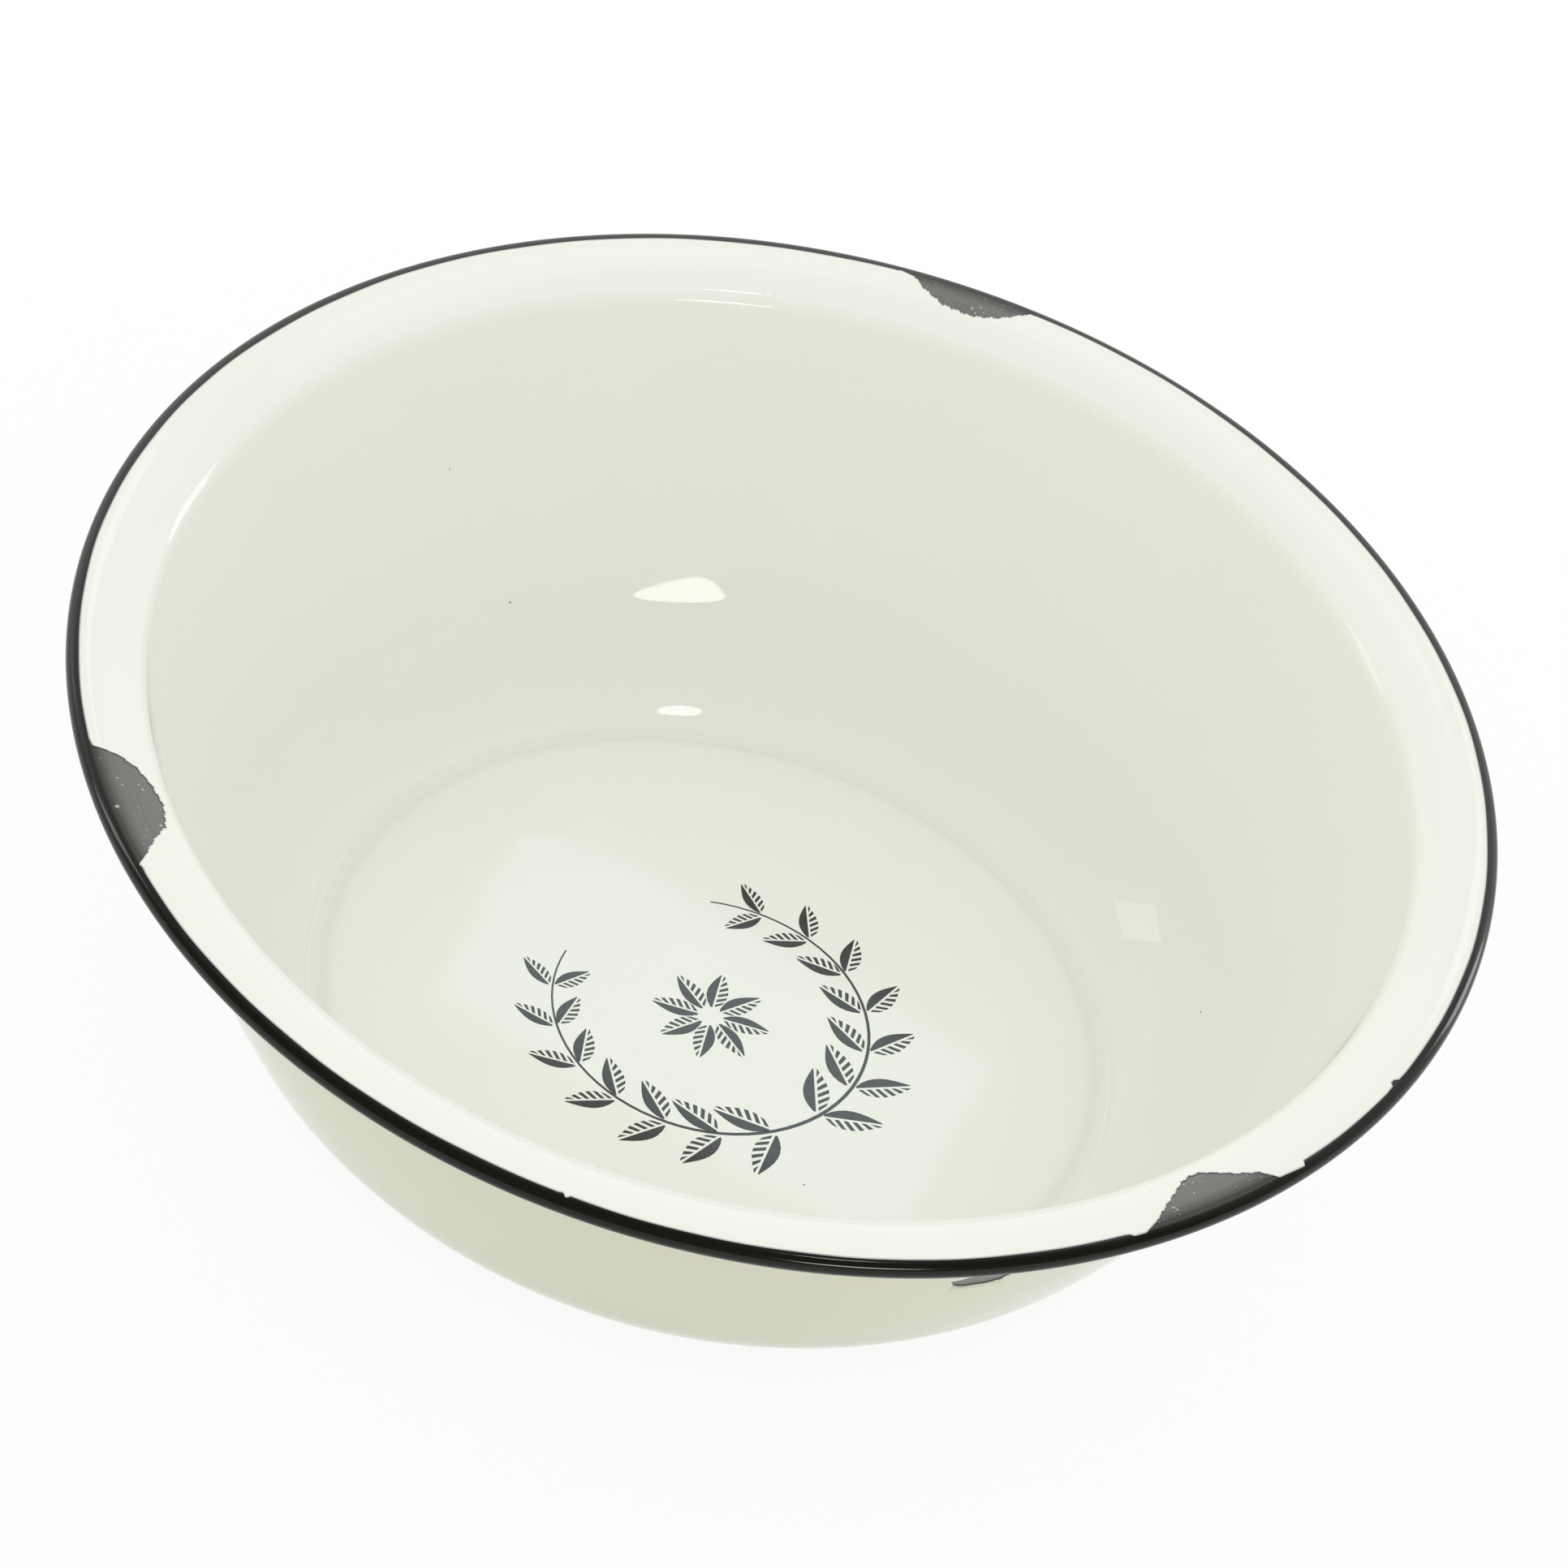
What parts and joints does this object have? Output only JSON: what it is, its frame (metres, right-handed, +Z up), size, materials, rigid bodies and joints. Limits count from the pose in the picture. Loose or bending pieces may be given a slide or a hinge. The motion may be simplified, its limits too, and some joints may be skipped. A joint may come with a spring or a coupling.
{
  "type": "wash basin",
  "caption": "Round enamelled steel wash basin: flat floor, curved wall, wide flange and dark rolled rim, with chipped cream enamel. It stands free and holds water.",
  "frame": {"origin": "centre of the ring that the basin stands on, in the standing plane", "axes": "+Z up along the bowl's axis; -Y faces the picture's camera"},
  "size_m": [0.38, 0.38, 0.1122],
  "materials": {
    "sheet_steel": "bare pressed sheet, hidden under the coats",
    "dark_enamel": "glossy near-black ground coat",
    "cream_enamel": "glossy cream cover coat"
  },
  "bodies": {
    "root": {"steel_pressing": "sheet_steel", "ground_coat_inside": "dark_enamel", "ground_coat_outside": "dark_enamel", "cover_coat_inside": "cream_enamel", "cover_coat_outside": "cream_enamel"}
  },
  "joints": []
}
